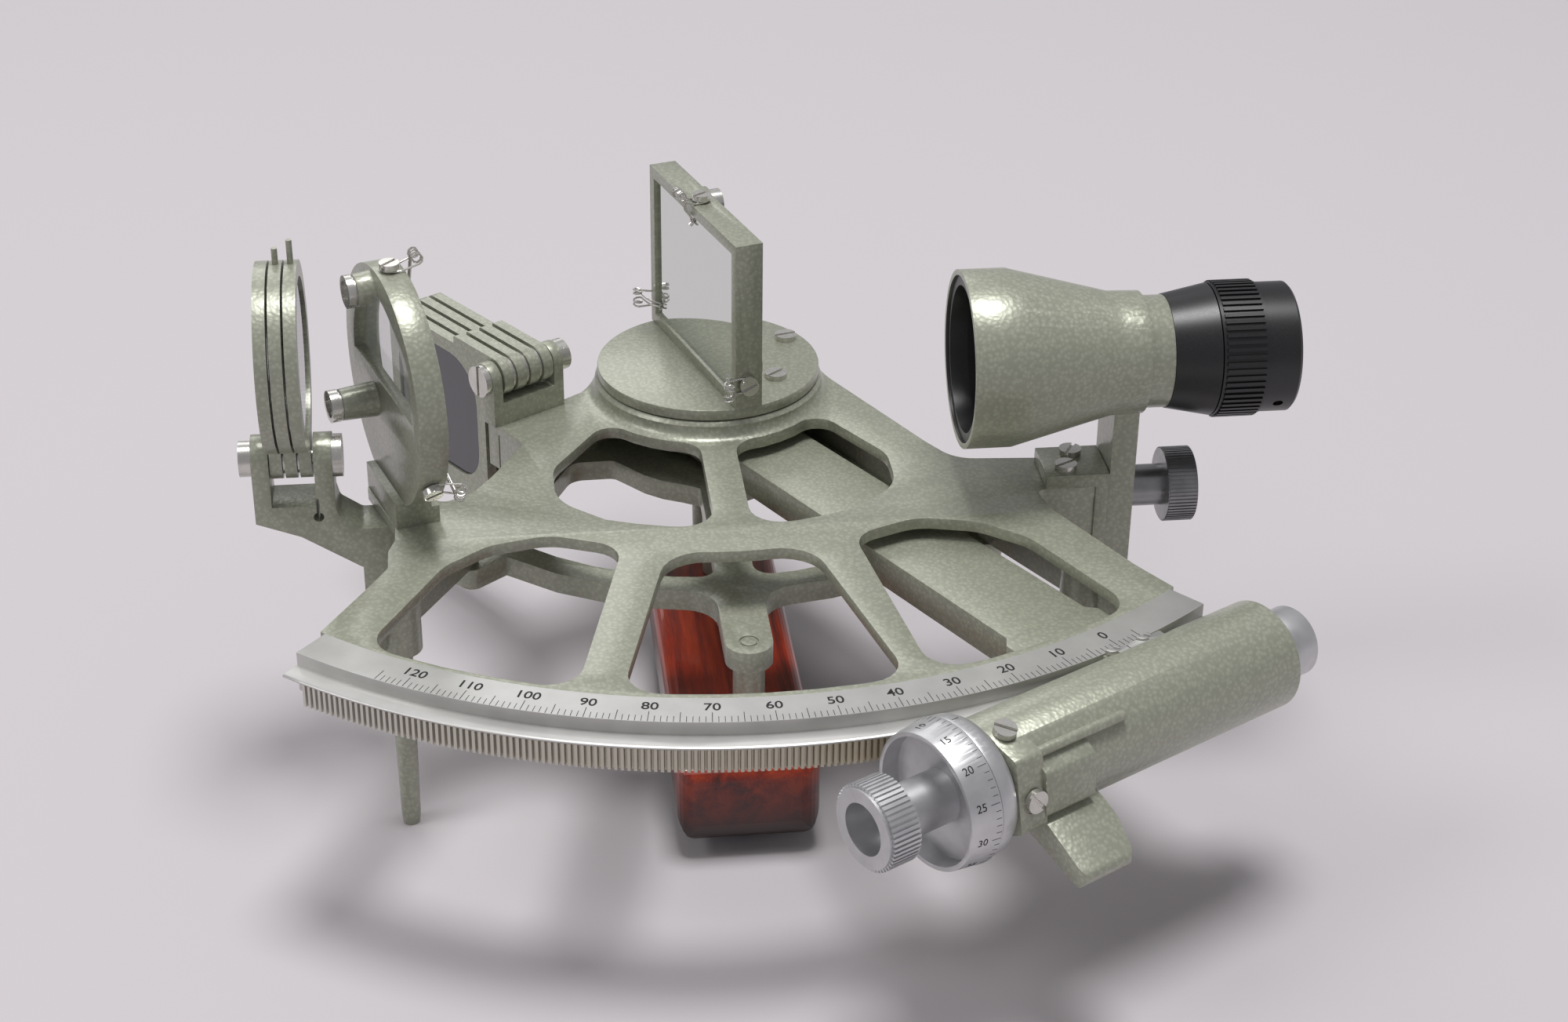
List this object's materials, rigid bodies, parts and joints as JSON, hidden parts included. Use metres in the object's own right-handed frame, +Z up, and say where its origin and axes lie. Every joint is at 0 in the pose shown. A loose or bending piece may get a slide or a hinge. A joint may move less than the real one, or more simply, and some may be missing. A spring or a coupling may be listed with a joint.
{
  "type": "drum sextant",
  "caption": "Drum sextant on three legs: open limb frame, swinging index arm with micrometer drum, two mirrors, folding shades, small telescope and wooden handle.",
  "frame": {"origin": "on the table under the middle of the whole instrument", "axes": "+Z up, +X towards the telescope, +Y from the limb towards the pivot"},
  "size_m": [0.264, 0.2415, 0.142],
  "materials": {
    "enamel": "grey-green hammertone enamel",
    "limb_metal": "satin turned",
    "nickel": "nickel plated",
    "steel": "ground",
    "bush_brass": "turned",
    "varnished_wood": "red-brown varnish",
    "tip_rubber": "matt",
    "silvered_glass": "silvered",
    "clear_glass": "polished",
    "shade_glass_dark": "polished, dark grey",
    "shade_glass_light": "polished, light grey",
    "black_anodised": "black anodised"
  },
  "bodies": {
    "stand": {"frame": "enamel", "limb_rack": "limb_metal", "handle_bridge": "enamel", "wooden_handle": "varnished_wood", "handle_screws": "nickel", "legs": "enamel", "leg_tips": "tip_rubber", "pivot_bushes": "bush_brass", "horizon_mirror_frame": "enamel", "horizon_mirror_glass": "clear_glass", "horizon_mirror_clips": "nickel", "horizon_mirror_screws": "nickel", "horizon_mirror_adjusters": "nickel", "horizon_shade_fork": "enamel", "horizon_shade_axle": "nickel", "horizon_shade_washers": "nickel", "index_shade_fork": "enamel", "index_shade_axle": "nickel", "index_shade_washers": "nickel", "telescope_bracket": "enamel", "bracket_screws": "nickel"},
    "telescope": {"telescope_body": "enamel", "objective_lens": "clear_glass", "objective_ring": "black_anodised", "eyepiece_cone": "black_anodised"},
    "focuser": {"focus_ring": "black_anodised", "eyepiece_end": "black_anodised", "eye_lens": "clear_glass"},
    "clamp_screw": {"telescope_thumbscrew": "black_anodised"},
    "arm": {"index_arm": "enamel", "index_shaft": "steel", "mirror_base": "enamel", "index_mirror_frame": "enamel", "index_mirror_glass": "silvered_glass", "index_mirror_clips": "nickel", "index_mirror_screws": "nickel", "carriage_pin": "steel"},
    "carriage": {"worm_housing": "enamel", "housing_screws": "nickel", "vernier_ring": "limb_metal", "worm_end_cap": "limb_metal", "index_pointer": "limb_metal"},
    "drum": {"worm_shaft": "steel", "micrometer_drum": "limb_metal", "drum_knob": "limb_metal"},
    "horizon_shade_leaf_1": {"horizon_shade_1": "enamel", "horizon_shade_glass_1": "shade_glass_dark"},
    "horizon_shade_leaf_2": {"horizon_shade_2": "enamel", "horizon_shade_glass_2": "shade_glass_light"},
    "horizon_shade_leaf_3": {"horizon_shade_3": "enamel", "horizon_shade_glass_3": "shade_glass_light"},
    "index_shade_leaf_1": {"index_shade_1": "enamel", "index_shade_glass_1": "shade_glass_dark"},
    "index_shade_leaf_2": {"index_shade_2": "enamel", "index_shade_glass_2": "shade_glass_dark"},
    "index_shade_leaf_3": {"index_shade_3": "enamel", "index_shade_glass_3": "shade_glass_light"},
    "index_shade_leaf_4": {"index_shade_4": "enamel", "index_shade_glass_4": "shade_glass_light"}
  },
  "joints": [
    {"name": "index_swing", "type": "hinge", "parent": "stand", "child": "arm", "pos_m": [-0.01005, 0.0838, 0.07], "axis": [0, 0, 1], "range_deg": [-62.5, 2.5]},
    {"name": "carriage_release", "type": "hinge", "parent": "arm", "child": "carriage", "pos_m": [0.07345, -0.06083, 0.051], "axis": [0.866, 0.5, 0], "range_deg": [0, 8], "stiffness_Nm_per_rad": 1, "springref_deg": -17.19},
    {"name": "drum_turn", "type": "hinge", "parent": "carriage", "child": "drum", "pos_m": [0.07855, -0.06966, 0.0618], "axis": [0.866, 0.5, 0], "range_deg": [-45000, 1800]},
    {"name": "telescope_rise", "type": "slide", "parent": "stand", "child": "telescope", "axis": [0, 0, 1], "range_m": [0, 0.012]},
    {"name": "focus_turn", "type": "hinge", "parent": "telescope", "child": "focuser", "pos_m": [0.11695, 0.0253, 0.104], "axis": [1, 0, 0], "range_deg": [-180, 180]},
    {"name": "clamp_turn", "type": "hinge", "parent": "stand", "child": "clamp_screw", "pos_m": [0.09995, 0.0253, 0.0654], "axis": [1, 0, 0], "range_deg": [-360, 0]},
    {"name": "horizon_shade_swing_1", "type": "hinge", "parent": "stand", "child": "horizon_shade_leaf_1", "pos_m": [-0.11905, 0.0253, 0.085], "axis": [1, 0, 0], "range_deg": [0, 90]},
    {"name": "horizon_shade_swing_2", "type": "hinge", "parent": "stand", "child": "horizon_shade_leaf_2", "pos_m": [-0.11905, 0.0253, 0.085], "axis": [1, 0, 0], "range_deg": [0, 90]},
    {"name": "horizon_shade_swing_3", "type": "hinge", "parent": "stand", "child": "horizon_shade_leaf_3", "pos_m": [-0.11905, 0.0253, 0.085], "axis": [1, 0, 0], "range_deg": [0, 90]},
    {"name": "index_shade_swing_1", "type": "hinge", "parent": "stand", "child": "index_shade_leaf_1", "pos_m": [-0.06187, 0.07478, 0.0825], "axis": [0.829, 0.5592, 0], "range_deg": [0, 180]},
    {"name": "index_shade_swing_2", "type": "hinge", "parent": "stand", "child": "index_shade_leaf_2", "pos_m": [-0.06187, 0.07478, 0.0825], "axis": [0.829, 0.5592, 0], "range_deg": [0, 180]},
    {"name": "index_shade_swing_3", "type": "hinge", "parent": "stand", "child": "index_shade_leaf_3", "pos_m": [-0.06187, 0.07478, 0.0825], "axis": [0.829, 0.5592, 0], "range_deg": [0, 180]},
    {"name": "index_shade_swing_4", "type": "hinge", "parent": "stand", "child": "index_shade_leaf_4", "pos_m": [-0.06187, 0.07478, 0.0825], "axis": [0.829, 0.5592, 0], "range_deg": [0, 180]}
  ],
  "couplings": [
    {"joint": "drum_turn", "follows": "index_swing", "ratio": 720}
  ]
}
